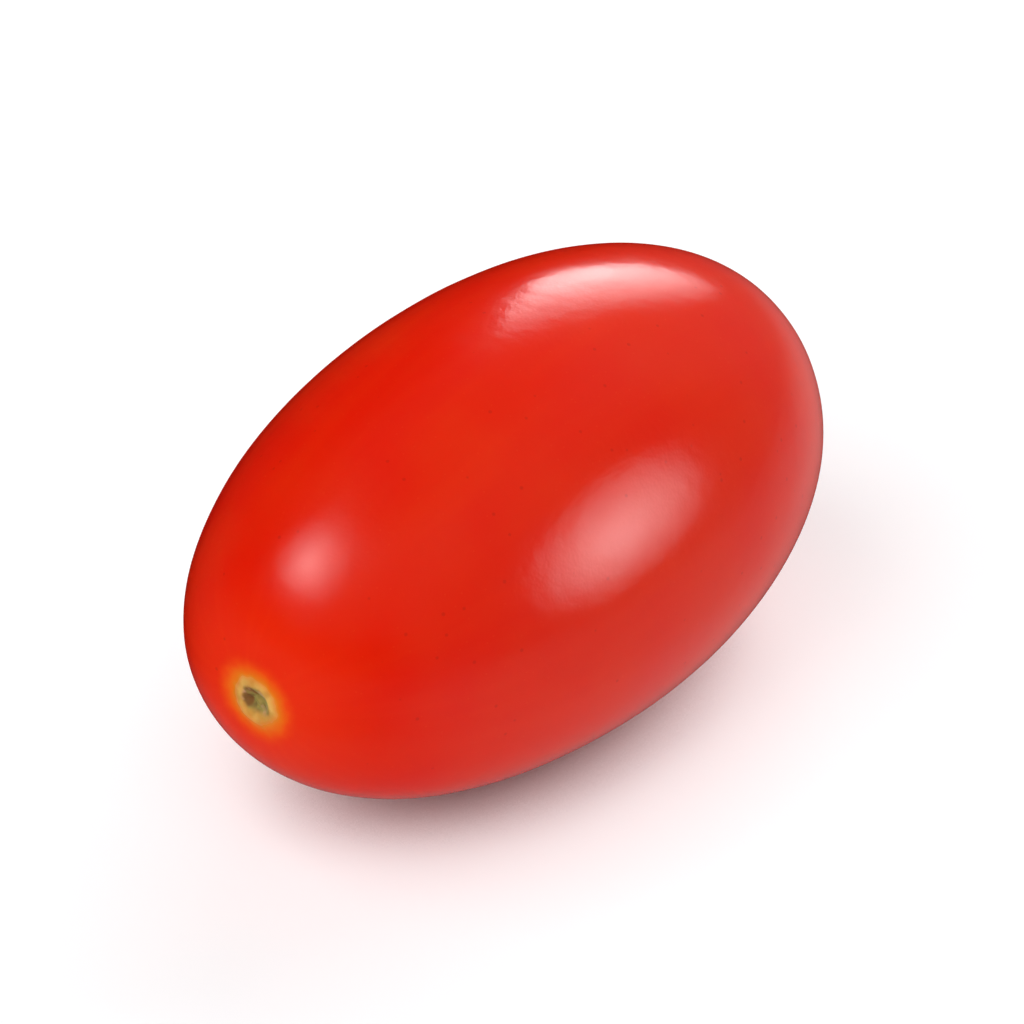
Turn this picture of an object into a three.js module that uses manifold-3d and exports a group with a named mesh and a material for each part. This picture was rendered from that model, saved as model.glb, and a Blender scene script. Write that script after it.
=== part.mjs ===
// A small plum-shaped tomato, picked without its calyx, lying on its side.
// Millimetres, +Z up. The fruit's long axis runs along X: the stem scar faces -X and the blossom end +X.
// The origin is the middle of the small flat spot that the fruit rests on.
import * as THREE from "three";
import { mergeVertices } from "three/addons/utils/BufferGeometryUtils.js";
import Module from "manifold-3d";

const wasm = await Module();
wasm.setup();

// The fruit's body.
const LENGTH = 40.2;
const RADIUS = 12.0;
const STEM_FULLNESS = 0.815; // power of the sine in the outline: 1 is an ellipse, less is blunter
const TIP_FULLNESS = 0.92;
const EGG_SHARE = 0.012; // how much wider the blossom half is
const OVAL_SHARE = 0.016; // how much wider than high the fruit lies
const LOBE_COUNT = 3; // one for each seed chamber
const LOBE_SHARE = 0.0105;
const LOBE_ON_TOP = Math.PI / 2; // where round the axis the first lobe swells, from +Y towards +Z
const FLAT_DEPTH = 0.15; // what the resting spot takes off the lowest point

// The stem end: a dimple, and in it the scar of the stalk, a low corky ring round a sunken core.
const DIMPLE_DEPTH = 0.42;
const DIMPLE_RADIUS = 2.3;
const RING_HEIGHT = 0.13;
const RING_RADIUS = 1.08;
const RING_WIDTH = 0.3;
const CORE_DEPTH = 0.24;
const CORE_RADIUS = 0.62;
const BUNDLE_HEIGHT = 0.12; // the broken strand in the middle of the core
const BUNDLE_RADIUS = 0.24;
const SCAR_REACH = 3.4; // the lobes start outside this radius, so that the scar stays round

// The blossom end: the dried foot of the flower's style.
const POINT_HEIGHT = 0.34;
const POINT_RADIUS = 0.55;

// How finely the surface is divided.
const SEGMENTS = 60;
const BODY_STEPS = 42;
const SCAR_PITCH = 0.2;
const SCAR_FINE_RADIUS = 3.0;
const POINT_PITCH = 0.25;
const POINT_FINE_RADIUS = 1.5;

const bell = (distance, width) => Math.exp(-((distance / width) ** 2));

// Radius of the outline at an angle from the stem end, from 0 to PI.
function outlineRadius(angle) {
  const along = -Math.cos(angle);
  const middle = (TIP_FULLNESS + STEM_FULLNESS) / 2;
  const half = (TIP_FULLNESS - STEM_FULLNESS) / 2;
  return RADIUS * Math.sin(angle) ** (middle + half * along) * (1 + EGG_SHARE * along);
}

// How far the stem end stands out from the plain outline, along the axis.
function stemRelief(radius) {
  const dimple = -DIMPLE_DEPTH * bell(radius, DIMPLE_RADIUS);
  const ring = RING_HEIGHT * bell(radius - RING_RADIUS, RING_WIDTH);
  const core = -CORE_DEPTH * Math.exp(-((radius / CORE_RADIUS) ** 4));
  const bundle = BUNDLE_HEIGHT * bell(radius, BUNDLE_RADIUS);
  return dimple + ring + core + bundle;
}

// How far the blossom end stands out from the plain outline, along the axis.
function pointRelief(radius) {
  return POINT_HEIGHT / (1 + (radius / POINT_RADIUS) ** 2) ** 2;
}

// The angles of the outline that give radii a set pitch apart near one end.
function fineAngles(pitch, reach, fullness) {
  const count = Math.round(reach / pitch);
  return Array.from({ length: count }, (_, i) => {
    const share = ((i + 1) * pitch) / RADIUS;
    return Math.asin(share ** (1 / fullness));
  });
}

// The outline from the stem end to the blossom end, close together at the scar and at the point.
function outline() {
  const stem = fineAngles(SCAR_PITCH, SCAR_FINE_RADIUS, STEM_FULLNESS);
  const point = fineAngles(POINT_PITCH, POINT_FINE_RADIUS, TIP_FULLNESS);
  const first = stem.at(-1);
  const last = Math.PI - point.at(-1);
  const body = Array.from({ length: BODY_STEPS - 1 }, (_, i) => {
    return first + ((last - first) * (i + 1)) / BODY_STEPS;
  });
  const angles = [...stem, ...body, ...point.map((a) => Math.PI - a).reverse()];
  const points = angles.map((angle) => {
    const radius = outlineRadius(angle);
    const plain = (-LENGTH / 2) * Math.cos(angle);
    const along = angle < Math.PI / 2 ? plain - stemRelief(radius) : plain + pointRelief(radius);
    return new THREE.Vector2(radius, along);
  });
  points.unshift(new THREE.Vector2(0, -LENGTH / 2 - stemRelief(0)));
  points.push(new THREE.Vector2(0, LENGTH / 2 + pointRelief(0)));
  return points;
}

// Swells the round body into its lobes and its slightly oval section.
function addLobes(geometry) {
  const position = geometry.attributes.position;
  for (let i = 0; i < position.count; i++) {
    const y = position.getY(i);
    const z = position.getZ(i);
    const around = Math.atan2(z, y);
    const oval = OVAL_SHARE * Math.cos(2 * around);
    const lobe = LOBE_SHARE * Math.cos(LOBE_COUNT * (around - LOBE_ON_TOP));
    const fade = THREE.MathUtils.smoothstep(Math.hypot(y, z), 0, SCAR_REACH);
    const swell = 1 + (oval + lobe) * fade;
    position.setY(i, y * swell);
    position.setZ(i, z * swell);
  }
}

// A closed geometry as a solid. Triangles that have no area, at the two poles, are dropped.
function toSolid(geometry) {
  const bare = geometry.clone();
  bare.deleteAttribute("normal");
  bare.deleteAttribute("uv");
  const merged = mergeVertices(bare);
  const index = merged.index.array;
  const triangles = [];
  for (let i = 0; i < index.length; i += 3) {
    const [a, b, c] = index.slice(i, i + 3);
    if (a !== b && b !== c && c !== a) triangles.push(a, b, c);
  }
  const mesh = new wasm.Mesh({
    numProp: 3,
    vertProperties: merged.attributes.position.array,
    triVerts: Uint32Array.from(triangles),
  });
  return new wasm.Manifold(mesh);
}

// A solid as a geometry with a crease only where the flat spot was cut.
function toGeometry(solid) {
  const mesh = solid.getMesh();
  const geometry = new THREE.BufferGeometry();
  geometry.setAttribute("position", new THREE.BufferAttribute(mesh.vertProperties, 3));
  geometry.setIndex(new THREE.BufferAttribute(mesh.triVerts, 1));
  geometry.computeVertexNormals();
  return geometry;
}

function makeTomato() {
  const body = new THREE.LatheGeometry(outline(), SEGMENTS);
  body.rotateZ(-Math.PI / 2);
  addLobes(body);
  body.computeBoundingBox();
  const box = body.boundingBox;
  const middle = (box.min.x + box.max.x) / 2;
  body.translate(-middle, 0, -box.min.z - FLAT_DEPTH);

  const below = new THREE.BoxGeometry(LENGTH, 2 * RADIUS, RADIUS);
  below.translate(0, 0, -RADIUS / 2);
  const geometry = toGeometry(toSolid(body).subtract(toSolid(below)));

  const skin = new THREE.MeshStandardMaterial({ color: 0xd9260f, roughness: 0.3, metalness: 0 });
  const tomato = new THREE.Mesh(geometry, skin);
  tomato.name = "tomato";
  return tomato;
}

const part = new THREE.Group();
part.add(makeTomato());

export default part;
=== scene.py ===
import math

import bpy
import numpy as np
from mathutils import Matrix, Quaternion, Vector, noise


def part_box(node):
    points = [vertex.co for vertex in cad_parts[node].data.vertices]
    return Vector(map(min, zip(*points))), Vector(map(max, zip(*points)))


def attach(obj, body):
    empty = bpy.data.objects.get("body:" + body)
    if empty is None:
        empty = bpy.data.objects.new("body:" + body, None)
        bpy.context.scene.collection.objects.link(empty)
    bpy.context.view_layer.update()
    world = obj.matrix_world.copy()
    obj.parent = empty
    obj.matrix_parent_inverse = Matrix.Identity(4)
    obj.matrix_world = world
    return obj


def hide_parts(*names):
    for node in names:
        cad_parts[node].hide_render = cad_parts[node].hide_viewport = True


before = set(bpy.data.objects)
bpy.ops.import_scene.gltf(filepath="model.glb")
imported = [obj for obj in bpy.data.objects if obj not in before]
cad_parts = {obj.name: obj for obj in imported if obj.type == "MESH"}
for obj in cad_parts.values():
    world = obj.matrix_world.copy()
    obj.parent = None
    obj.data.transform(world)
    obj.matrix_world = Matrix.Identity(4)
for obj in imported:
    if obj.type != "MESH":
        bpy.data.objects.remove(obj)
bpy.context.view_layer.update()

# The fruit: one small plum tomato lying on its side, stem end towards -X, grown as one piece.
# Its skin closes over three faint seed chambers, dips at the stem end round the corky scar that the stalk
# left, and ends in the dry foot of the flower's style at the blossom end.
low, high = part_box("tomato")
axis_height = float(high.z) / 2

LENGTH = 0.0402
RADIUS = 0.0120
STEM_FULLNESS = 0.815   # power of the sine in the outline: 1 is an ellipse, less is blunter
TIP_FULLNESS = 0.92
EGG_SHARE = 0.012       # how much wider the blossom half is
OVAL_SHARE = 0.016      # how much wider than high the fruit lies
LOBE_COUNT = 3
LOBE_SHARE = 0.0105
LOBE_ON_TOP = math.pi / 2
FLAT_DEPTH = 0.00015    # what the resting spot takes off the lowest point
WAVE_HEIGHT = 0.00005   # the slight unevenness of a grown skin, long and short
WAVE_LENGTH = 0.0085
DENT_HEIGHT = 0.000012
DENT_LENGTH = 0.0028

SCAR_Y = -0.00027       # the scar lies a little off the axis
SCAR_Z = -0.00038
SCAR_RADIUS = 0.0013
SCAR_REACH = 0.0034     # the lobes and waves start outside this radius
DIMPLE_DEPTH = 0.00042
DIMPLE_RADIUS = 0.0023
RING_HEIGHT = 0.00013
RING_RADIUS = 0.00108
RING_WIDTH = 0.0003
CORE_DEPTH = 0.00024
CORE_RADIUS = 0.00062
BUNDLE_HEIGHT = 0.00012
BUNDLE_RADIUS = 0.00024
STRAND_COUNT = 5        # broken strands round the core, each in its own small hole
STRAND_PHASE = 0.6
STRAND_CIRCLE = 0.0005
STRAND_HOLE = 0.00014
STRAND_DEPTH = 0.00009
CORK_LUMP = 0.00005
CORK_LUMP_LENGTH = 0.0006
CORK_GRAIN = 0.000022
CORK_GRAIN_LENGTH = 0.00018
POINT_HEIGHT = 0.00034
POINT_RADIUS = 0.00055

SKIN_SEGMENTS = 256
FINE_STEP = 0.00007     # distance between rings of the mesh at the scar and at the point
COARSE_STEP = 0.0004    # distance between them along the body
FINE_REACH = 0.0045
MERGE_DISTANCE = 0.0000005


def bell(distance, width):
    return np.exp(-((distance / width) ** 2))


def ease(share):
    """0 at 0 and 1 at 1, eased between them."""
    share = np.clip(share, 0, 1)
    return share * share * (3 - 2 * share)


def outline(angle):
    """Place along the axis and radius, for angles from 0 at the stem end to pi at the blossom end."""
    toward_tip = -np.cos(angle)
    middle_power = (TIP_FULLNESS + STEM_FULLNESS) / 2
    power_change = (TIP_FULLNESS - STEM_FULLNESS) / 2
    power = middle_power + power_change * toward_tip
    radius = RADIUS * np.sin(angle) ** power * (1 + EGG_SHARE * toward_tip)
    return LENGTH / 2 * toward_tip, radius


def stem_relief(radius):
    """How far the stem end stands out from the plain outline."""
    dimple = -DIMPLE_DEPTH * bell(radius, DIMPLE_RADIUS)
    ring = RING_HEIGHT * bell(radius - RING_RADIUS, RING_WIDTH)
    core = -CORE_DEPTH * np.exp(-((radius / CORE_RADIUS) ** 4))
    bundle = BUNDLE_HEIGHT * bell(radius, BUNDLE_RADIUS)
    return dimple + ring + core + bundle


def point_relief(radius):
    """How far the blossom end stands out from the plain outline."""
    return POINT_HEIGHT / (1 + (radius / POINT_RADIUS) ** 2) ** 2


def outline_angles():
    """Angles of the outline's points, close together at the two ends and wider apart along the body."""
    angle = np.linspace(0, math.pi, 20001)
    along, radius = outline(np.clip(angle, 1e-9, math.pi - 1e-9))
    step = np.hypot(np.diff(along), np.diff(radius))
    middle = (radius[1:] + radius[:-1]) / 2
    spacing = FINE_STEP + (COARSE_STEP - FINE_STEP) * ease(middle / FINE_REACH)
    passed = np.concatenate([[0], np.cumsum(step / spacing)])
    count = int(round(passed[-1]))
    return np.interp(np.arange(1, count) / count, passed / passed[-1], angle)


def unevenness(points, length):
    """Smooth noise at each point, with features of this length."""
    return np.array([noise.noise(Vector(point) / length) for point in points.tolist()])


# Half a circle of points is drawn out to the fruit's outline and spun round its axis.
angles = outline_angles()
bpy.ops.object.select_all(action="DESELECT")
bpy.ops.mesh.primitive_circle_add(vertices=2 * (len(angles) + 1), radius=1)
fruit = bpy.context.object
fruit.name = "tomato_fruit"
fruit.data.name = "tomato_fruit"
bpy.ops.object.mode_set(mode="EDIT")
bpy.ops.mesh.select_all(action="SELECT")
bpy.ops.mesh.bisect(plane_co=(0, 0, 0), plane_no=(1, 0, 0), clear_inner=True, use_fill=False)
bpy.ops.object.mode_set(mode="OBJECT")
from_stem = sorted(fruit.data.vertices, key=lambda vertex: vertex.co.y)
for vertex, angle in zip(from_stem, [0, *angles, math.pi]):
    along, radius = outline(angle)
    radius = 0 if angle in (0, math.pi) else radius
    relief = 0 if angle < math.pi / 2 else point_relief(radius)
    vertex.co = (along + relief, radius, 0)

bpy.ops.object.mode_set(mode="EDIT")
bpy.ops.mesh.select_all(action="SELECT")
bpy.ops.mesh.spin(steps=SKIN_SEGMENTS, angle=2 * math.pi, center=(0, 0, 0), axis=(1, 0, 0))
bpy.ops.mesh.select_all(action="SELECT")
bpy.ops.mesh.remove_doubles(threshold=MERGE_DISTANCE)
bpy.ops.mesh.normals_make_consistent(inside=False)
bpy.ops.object.mode_set(mode="OBJECT")

# The lobes and the oval section swell the round body, and the dimple and the scar sink into its stem end.
co = np.empty(len(fruit.data.vertices) * 3)
normals = np.empty_like(co)
fruit.data.vertices.foreach_get("co", co)
fruit.data.vertices.foreach_get("normal", normals)
co = co.reshape(-1, 3)
around = np.arctan2(co[:, 2], co[:, 1])
outside_scar = ease(np.hypot(co[:, 1], co[:, 2]) / SCAR_REACH)
oval = OVAL_SHARE * np.cos(2 * around)
lobe = LOBE_SHARE * np.cos(LOBE_COUNT * (around - LOBE_ON_TOP))
from_scar = np.hypot(co[:, 1] - SCAR_Y, co[:, 2] - SCAR_Z)
around_scar = np.arctan2(co[:, 2] - SCAR_Z, co[:, 1] - SCAR_Y)
co[:, 1:] *= (1 + (oval + lobe) * outside_scar)[:, None]
co[:, 0] -= (co[:, 0] < 0) * stem_relief(from_scar)

# The cork of the scar is lumpy and grainy, with a small hole for each broken strand.
strand = np.clip(np.cos(STRAND_COUNT * around_scar - STRAND_PHASE), 0, 1) ** 4
hole = bell(from_scar - STRAND_CIRCLE, STRAND_HOLE) * strand
cork = (co[:, 0] < 0) * bell(from_scar, SCAR_RADIUS) ** 2
lump = CORK_LUMP * unevenness(co, CORK_LUMP_LENGTH)
grain = CORK_GRAIN * unevenness(co, CORK_GRAIN_LENGTH)
co[:, 0] += cork * (STRAND_DEPTH * hole - lump - grain)
wave = WAVE_HEIGHT * unevenness(co, WAVE_LENGTH) + DENT_HEIGHT * unevenness(co, DENT_LENGTH)
co += normals.reshape(-1, 3) * (wave * outside_scar)[:, None]

# The fruit is centred over its resting spot, which is pressed flat, and fitted to the frame's box.
co[:, 0] -= (co[:, 0].min() + co[:, 0].max()) / 2
co[:, 2] -= co[:, 2].min() + FLAT_DEPTH
co[:, 2] = np.maximum(co[:, 2], 0)
co[:, 0] *= (high.x - low.x) / np.ptp(co[:, 0])
co[:, 1] *= (high.y - low.y) / np.ptp(co[:, 1])
co[:, 2] *= high.z / co[:, 2].max()
fruit.data.vertices.foreach_set("co", co.reshape(-1))
fruit.data.update()
bpy.ops.object.shade_smooth()


class Socket:
    """One output of a shader node, or with no output a whole node tree. Arithmetic adds Math nodes."""

    def __init__(self, tree, output=None):
        self.tree = tree
        self.output = output

    def node(self, kind, inputs=None, **settings):
        """Adds a node of a type, with its settings and then the values or links of its inputs."""
        made = self.tree.nodes.new(kind)
        for name, value in settings.items():
            setattr(made, name, value)
        for name, value in (inputs or {}).items():
            if isinstance(value, Socket):
                self.tree.links.new(value.output, made.inputs[name])
            else:
                made.inputs[name].default_value = value
        return made

    def out(self, made, name=0):
        return Socket(self.tree, made.outputs[name])

    def math(self, operation, *values):
        """A Math node on these values, each a number or a socket."""
        return self.out(self.node("ShaderNodeMath", dict(enumerate(values)), operation=operation))

    def __add__(self, other):
        return self.math("ADD", self, other)

    def __radd__(self, other):
        return self.math("ADD", other, self)

    def __sub__(self, other):
        return self.math("SUBTRACT", self, other)

    def __rsub__(self, other):
        return self.math("SUBTRACT", other, self)

    def __mul__(self, other):
        return self.math("MULTIPLY", self, other)

    def __rmul__(self, other):
        return self.math("MULTIPLY", other, self)

    def __truediv__(self, other):
        return self.math("DIVIDE", self, other)

    def __rtruediv__(self, other):
        return self.math("DIVIDE", other, self)

    def __pow__(self, other):
        return self.math("POWER", self, other)

    def __rpow__(self, other):
        return self.math("POWER", other, self)

    def cosine(self):
        return self.math("COSINE", self)

    def ramp(self, start, end):
        """0 at start and 1 at end, eased between them."""
        limits = {"Value": self, "From Min": start, "From Max": end, "To Min": 0.0, "To Max": 1.0}
        made = self.node("ShaderNodeMapRange", limits, interpolation_type="SMOOTHSTEP", clamp=True)
        return self.out(made, "Result")

    def mix(self, first, second):
        """A colour between first and second, with this socket as the share of second."""
        inputs = {0: self, 6: first, 7: second}
        return self.out(self.node("ShaderNodeMix", inputs, data_type="RGBA", clamp_factor=True), 2)

    def noise(self, scale, detail=2):
        """Noise from 0 to 1 on this vector, with features 1 / scale long and so many finer layers."""
        inputs = {"Vector": self, "Scale": scale, "Detail": detail}
        return self.out(self.node("ShaderNodeTexNoise", inputs), "Fac")

    def dots(self, scale, edge, middle):
        """Dots scattered about 1 / scale apart: 0 at edge and 1 at middle, radii given as shares of that."""
        inputs = {"Vector": self, "Scale": scale}
        return self.out(self.node("ShaderNodeTexVoronoi", inputs), "Distance").ramp(edge, middle)


def colour(red, green, blue):
    """A colour given as it shows on a screen, 0 to 255, for a shader."""
    def linear(value):
        value /= 255
        return value / 12.92 if value <= 0.04045 else ((value + 0.055) / 1.055) ** 2.4
    return (linear(red), linear(green), linear(blue), 1.0)


skin = bpy.data.materials.new("tomato_skin")
skin.use_nodes = True
skin.node_tree.nodes.clear()
flesh = Socket(skin.node_tree)
place = flesh.out(flesh.node("ShaderNodeTexCoord"), "Object")
parts = flesh.node("ShaderNodeSeparateXYZ", {0: place})
x, y, z = (flesh.out(parts, name) for name in "XYZ")
z = z - axis_height
from_axis = (y * y + z * z) ** 0.5
turn = flesh.math("ARCTAN2", z, y)
from_scar = ((y - SCAR_Y) ** 2 + (z - SCAR_Z) ** 2) ** 0.5
scar_turn = flesh.math("ARCTAN2", z - SCAR_Z, y - SCAR_Y)
stem_side = x.ramp(-0.012, -0.016)
tip_side = x.ramp(0.012, 0.016)

# Ripe red, painted brighter down one side as painted light, more orange at the shoulder, with faint
# lengthwise streaks.
RED = colour(228, 42, 10)
DEEP_RED = colour(226, 27, 6)
ORANGE_RED = colour(240, 58, 14)
PATCHES = 120           # in a metre
PATCH_SHARE = 0.6
LIT_SIDE_TURN = 2.6          # where round the axis the painted light is brightest, from +Y towards +Z
LIT_SIDE_SHARE = 0.4
SHOULDER_EDGE = (0.0070, 0.0025)    # distances from the scar at which it starts, and is full
SHOULDER_WOBBLE = 0.004
SHOULDER_SHARE = 0.35
STREAKS_ALONG = 90      # in a metre along the fruit, and in a radian round it
STREAKS_ROUND = 7
STREAK_SHARE = 0.12
meridian = flesh.out(flesh.node("ShaderNodeCombineXYZ", {
    "X": x * STREAKS_ALONG,
    "Y": y / from_axis * STREAKS_ROUND,
    "Z": z / from_axis * STREAKS_ROUND,
}))
patch = place.noise(PATCHES)
streak = meridian.noise(1)
# Painted light: one side of the body, away from the stem end, is painted a brighter red.
painted_light_side = (turn - LIT_SIDE_TURN).cosine().ramp(0.2, 0.95) * x.ramp(-0.015, -0.008)
body = (patch.ramp(0.35, 0.65) * PATCH_SHARE + painted_light_side * LIT_SIDE_SHARE).mix(DEEP_RED, RED)
shoulder = (from_scar + (patch - 0.5) * SHOULDER_WOBBLE).ramp(*SHOULDER_EDGE) * stem_side
body = (shoulder * SHOULDER_SHARE + streak.ramp(0.4, 0.8) * STREAK_SHARE).mix(body, ORANGE_RED)

# Pale pores under the skin, and a few darker pits in it.
PORE = colour(246, 96, 48)
PIT = colour(140, 18, 8)
PORES = 1900            # in a metre
PITS = 775
PORE_SHARE = 0.08
PIT_SHARE = 0.22
pore = place.dots(PORES, 0.13, 0.06)
pit = place.dots(PITS, 0.1, 0.05)
body = (pore * PORE_SHARE).mix(body, PORE)
body = (pit * PIT_SHARE).mix(body, PIT)

# The scar: an orange and amber halo in the skin, a cream ring of cork, and a brown and olive core.
HALO_ORANGE = colour(244, 88, 8)
HALO_AMBER = colour(228, 126, 20)
RING = colour(224, 174, 88)
RING_DARK = colour(200, 146, 62)
CORE_BROWN = colour(136, 90, 42)
CORE_OLIVE = colour(158, 140, 70)
CORE_TAN = colour(200, 154, 118)
HOLE = colour(100, 66, 36)
HALO_EDGE = (0.0028, 0.0014)        # radii at which each starts, and is full
AMBER_EDGE = (0.0022, 0.0012)
RING_EDGE = (0.0016, 0.0010)
CORE_EDGE = (0.00102, 0.00072)
HOLE_EDGE = (0.0003, 0.00002)       # the same from the circle of strands
EDGE_WOBBLE = 0.0004
STRAND_WOBBLE = 3
CIRCLE_WOBBLE = 0.0003
TAN_SHARE = 0.7
HOLE_SHARE = 0.5
rough_radius = from_scar + (place.noise(1400, 1) - 0.5) * EDGE_WOBBLE
halo, amber, ring, core = (
    rough_radius.ramp(*edge) * stem_side
    for edge in (HALO_EDGE, AMBER_EDGE, RING_EDGE, CORE_EDGE)
)
body = halo.mix(body, HALO_ORANGE)
body = amber.mix(body, HALO_AMBER)
body = ring.mix(body, place.noise(1100, 1).ramp(0.35, 0.65).mix(RING, RING_DARK))
core_shade = place.noise(900, 1).ramp(0.42, 0.58).mix(CORE_BROWN, CORE_OLIVE)
core_shade = (place.noise(2100, 0).ramp(0.56, 0.72) * TAN_SHARE).mix(core_shade, CORE_TAN)
body = core.mix(body, core_shade)
strand_turn = scar_turn * STRAND_COUNT - STRAND_PHASE + (place.noise(3000, 0) - 0.5) * STRAND_WOBBLE
strand = strand_turn.cosine().ramp(0.2, 1)
off_circle = from_scar - STRAND_CIRCLE + (place.noise(3500, 0) - 0.5) * CIRCLE_WOBBLE
hole = flesh.math("ABSOLUTE", off_circle).ramp(*HOLE_EDGE) * strand * stem_side
body = (hole * HOLE_SHARE).mix(body, HOLE)

# The blossom end: a brown dry point in slightly paler skin.
POINT_BROWN = colour(120, 78, 40)
POINT_PALE = colour(240, 120, 50)
PALE_EDGE = (0.0012, 0.0004)
POINT_EDGE = (0.0003, 0.00014)
PALE_WOBBLE = 0.001
POINT_WOBBLE = 0.0002
PALE_SHARE = 0.25
pale = (from_axis + (streak - 0.5) * PALE_WOBBLE).ramp(*PALE_EDGE) * tip_side
point = (from_axis + (place.noise(5000, 0) - 0.5) * POINT_WOBBLE).ramp(*POINT_EDGE) * tip_side
body = (pale * PALE_SHARE).mix(body, POINT_PALE)
body = point.mix(body, POINT_BROWN)

# The thin wax makes the skin glossy, and the cork is dull and coarse.
GRAIN_HEIGHT = 0.0000035
RIPPLE_HEIGHT = 0.000014
CORK_HEIGHT = 0.00004
WAX_ROUGHNESS = 0.13
WAX_CHANGE = 0.04
PIT_ROUGHNESS = 0.08
CORK_ROUGHNESS = 0.4
cork = flesh.math("MAXIMUM", ring, point)
height = place.noise(6500, 0) * GRAIN_HEIGHT + place.noise(1100, 1) * RIPPLE_HEIGHT
height = height + cork * place.noise(6000, 1) * CORK_HEIGHT
bump = flesh.node("ShaderNodeBump", {"Height": height, "Distance": 1.0, "Strength": 1.0})
roughness = WAX_ROUGHNESS + (place.noise(500, 0) + place.noise(2600, 0)) * WAX_CHANGE
roughness = roughness + pit * PIT_ROUGHNESS + cork * CORK_ROUGHNESS
shader = flesh.node("ShaderNodeBsdfPrincipled", {
    "Base Color": body,
    "Roughness": roughness,
    "IOR": 1.3,
    "Subsurface Weight": 0.35,
    "Subsurface Radius": (1.0, 0.12, 0.05),
    "Subsurface Scale": 0.0025,
    "Normal": flesh.out(bump, "Normal"),
})
flesh.node("ShaderNodeOutputMaterial", {"Surface": flesh.out(shader, "BSDF")})

fruit.data.materials.append(skin)
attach(fruit, "root")
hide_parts("tomato")

# The floor: a wide plain sheet of white paper that the fruit lies on.
# Its own glow, painted light, keeps it white to the edges, and fades under the fruit into a painted contact
# shadow, where little of the sky is open.
PAPER = (0.62, 0.62, 0.63, 1)
PAPER_GLOW = 0.46
FLOOR_SIZE = 6
FLOOR_DROP = 0.00002    # keeps the paper just clear of the flat spot
SKY_REACH = 0.08        # how far away the fruit still shuts out the sky
SKY_EDGE = (0.15, 0.445)            # shares of open sky at which the glow starts, and is full
bpy.ops.object.select_all(action="DESELECT")
bpy.ops.mesh.primitive_plane_add(size=FLOOR_SIZE, location=(0, 0, -FLOOR_DROP))
floor = bpy.context.object
floor.name = "floor"
paper = bpy.data.materials.new("floor_paper")
paper.use_nodes = True
paper.node_tree.nodes.clear()
sheet = Socket(paper.node_tree)
open_sky = sheet.out(sheet.node("ShaderNodeAmbientOcclusion", {"Distance": SKY_REACH}, samples=8), "AO")
surface = sheet.node("ShaderNodeBsdfPrincipled", {
    "Base Color": PAPER,
    "Roughness": 0.8,
    "Specular IOR Level": 0.0,
    # Painted shadow: the paper's glow fades out where the fruit shuts out the sky.
    "Emission Color": open_sky.ramp(*SKY_EDGE).mix((0, 0, 0, 1), (1, 1, 1, 1)),
    "Emission Strength": PAPER_GLOW,
})
sheet.node("ShaderNodeOutputMaterial", {"Surface": sheet.out(surface, "BSDF")})
floor.data.materials.append(paper)
floor.visible_glossy = False

# The camera: it looks down on the fruit past its stem end, at the photograph's viewing angle.
# The lens is long, and leaves some room round the fruit.
VIEW_AZIMUTH = math.radians(-49.1)
VIEW_ELEVATION = math.radians(37)
VIEW_DISTANCE = 0.6
VIEW_WIDTH = 0.0527     # what the view takes in across, at the fruit
SENSOR = 36
target = Vector((0, 0, high.z / 2))
right = Vector((math.cos(VIEW_AZIMUTH), math.sin(VIEW_AZIMUTH), 0))
forward = Vector((-math.sin(VIEW_AZIMUTH), math.cos(VIEW_AZIMUTH), 0))
back = Vector((0, 0, math.sin(VIEW_ELEVATION))) - forward * math.cos(VIEW_ELEVATION)
bpy.ops.object.camera_add(location=target + back * VIEW_DISTANCE)
camera = bpy.context.object
camera.rotation_mode = "QUATERNION"
camera.rotation_quaternion = back.to_track_quat("Z", "Y")
camera.data.sensor_width = SENSOR
camera.data.lens = SENSOR * VIEW_DISTANCE / VIEW_WIDTH
camera.data.clip_start = 0.01
camera.data.clip_end = 20
bpy.context.scene.camera = camera


# The lights: three soft boxes that show only in the gloss, each fading towards its edges.
# Three wide plain ones light the skin and the floor, and don't show in the gloss.
def softbox(name, bearing, elevation, distance, width, height, brightness, lean=0):
    """A soft box. Its bearing is in degrees from straight behind the fruit, clockwise as seen from above."""
    swing, rise = math.radians(bearing), math.radians(elevation)
    level = forward * math.cos(swing) + right * math.sin(swing)
    direction = level * math.cos(rise) + Vector((0, 0, math.sin(rise)))
    leaning = Quaternion((0, 0, 1), math.radians(lean))
    bpy.ops.object.light_add(type="AREA", location=target + direction * distance)
    light = bpy.context.object
    light.name = name
    light.rotation_mode = "QUATERNION"
    light.rotation_quaternion = direction.to_track_quat("Z", "Y") @ leaning
    light.data.shape = "RECTANGLE"
    light.data.size = width
    light.data.size_y = height
    light.data.energy = brightness * math.pi * width * height
    return light


def soften(light, side_share, height_share, brightest, power):
    """Fades a soft box away from where it is brightest, given across and up from -1 to 1."""
    light.data.use_nodes = True
    panel = Socket(light.data.node_tree)
    spot = panel.out(panel.node("ShaderNodeNewGeometry"), "Parametric")
    spot = panel.node("ShaderNodeSeparateXYZ", {0: spot})
    across, up = ((panel.out(spot, name) - 0.5) * 2 for name in "XY")
    out = (((across - brightest[0]) * side_share) ** 2 + ((up - brightest[1]) * height_share) ** 2) ** 0.5
    strength = panel.math("MAXIMUM", 1 - out, 0.0) ** power
    panel.tree.links.new(strength.output, panel.tree.nodes["Emission"].inputs["Strength"])
    light.visible_diffuse = False


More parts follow.
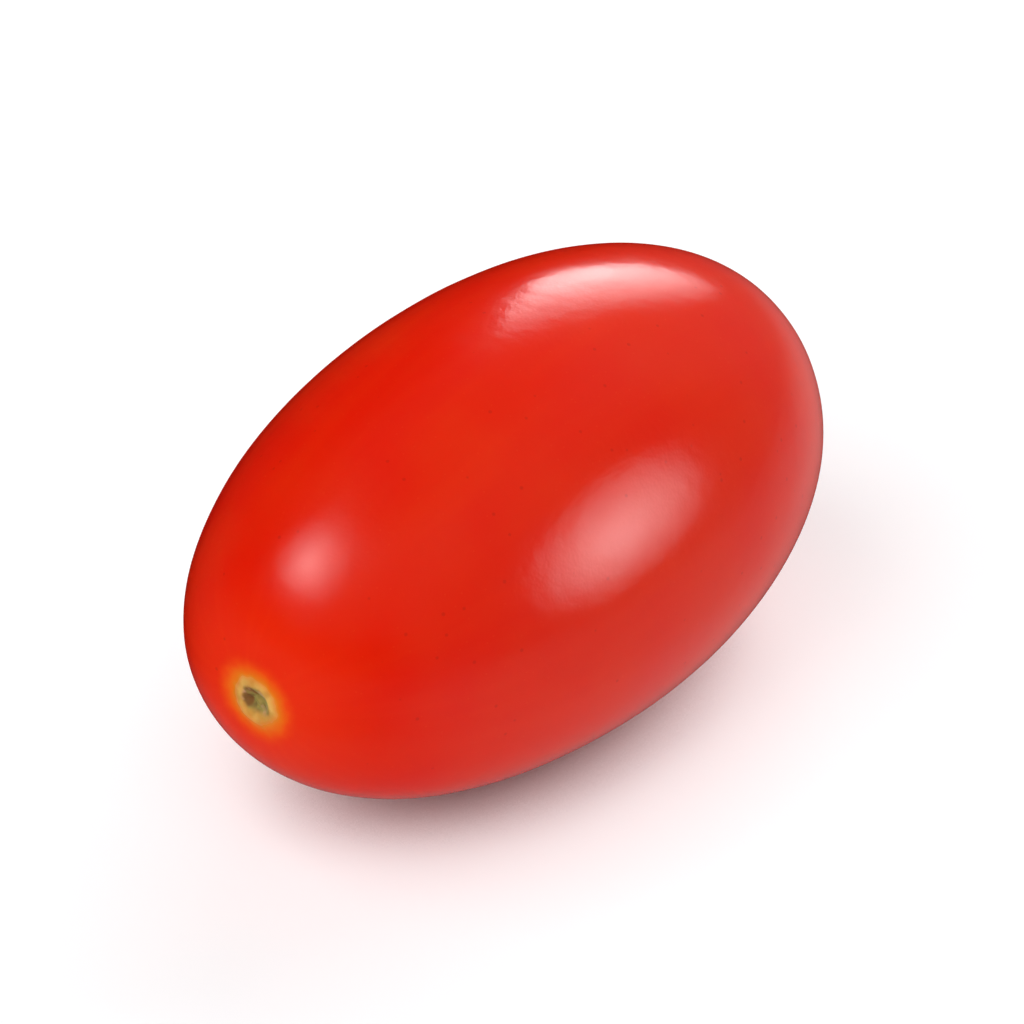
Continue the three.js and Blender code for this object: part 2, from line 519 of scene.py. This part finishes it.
light_left = softbox(
    "light_left", bearing=-114, elevation=52, distance=0.9, width=1.0, height=0.8, brightness=15.8
)
light_right = softbox(
    "light_right", bearing=102.5, elevation=14, distance=0.9, width=0.66, height=0.76, brightness=15.5
)
light_back = softbox(
    "light_back", bearing=15.5, elevation=24, distance=1.0, width=0.61, height=0.60, brightness=10.5, lean=11
)
soften(light_left, side_share=1, height_share=1, brightest=(0, 0), power=2.1)
soften(light_right, side_share=1, height_share=1, brightest=(0, 0), power=1.2)
soften(light_back, side_share=0.68, height_share=0.67, brightest=(0.5, -0.5), power=1)

fill_left = softbox(
    "fill_left", bearing=-120, elevation=50, distance=1.0, width=1.0, height=1.0, brightness=2.0
)
fill_front = softbox(
    "fill_front", bearing=180, elevation=50, distance=1.0, width=1.0, height=1.0, brightness=1.3
)
fill_back = softbox(
    "fill_back", bearing=28, elevation=22, distance=1.1, width=1.3, height=1.3, brightness=2.35
)
for fill in (fill_left, fill_front, fill_back):
    fill.visible_glossy = False

# The room: dim, with a pale wall on the right side of the view and a pale ceiling.
# The paper doesn't show in the gloss itself, so a pale glow from below stands in for it.
WALL_GLOW = 0.25
LOW_WALL_GLOW = 0.45    # what the paper adds low on the right
CEILING_GLOW = 0.15
PAPER_SHINE = 0.2
studio = bpy.data.worlds.new("studio")
bpy.context.scene.world = studio
studio.use_nodes = True
room = Socket(studio.node_tree)
toward = room.out(room.node("ShaderNodeTexCoord"), "Generated")
along_right = room.node("ShaderNodeVectorMath", {0: toward, 1: right}, operation="DOT_PRODUCT")
sideways = room.out(along_right, "Value")
upward = room.out(room.node("ShaderNodeSeparateXYZ", {0: toward}), "Z")
below = upward.ramp(-0.05, -0.35) * upward.ramp(-1.0, -0.5)
wall = sideways.ramp(0, 0.7) * (WALL_GLOW + below * LOW_WALL_GLOW)
ceiling = upward.ramp(0.5, 0.9) * CEILING_GLOW
shine = upward.ramp(-0.6, -0.8) * PAPER_SHINE
glow = wall + ceiling + shine
background = studio.node_tree.nodes["Background"]
background.inputs["Color"].default_value = (1, 1, 1, 1)
room.tree.links.new(glow.output, background.inputs["Strength"])
bpy.context.scene.view_settings.view_transform = "Standard"
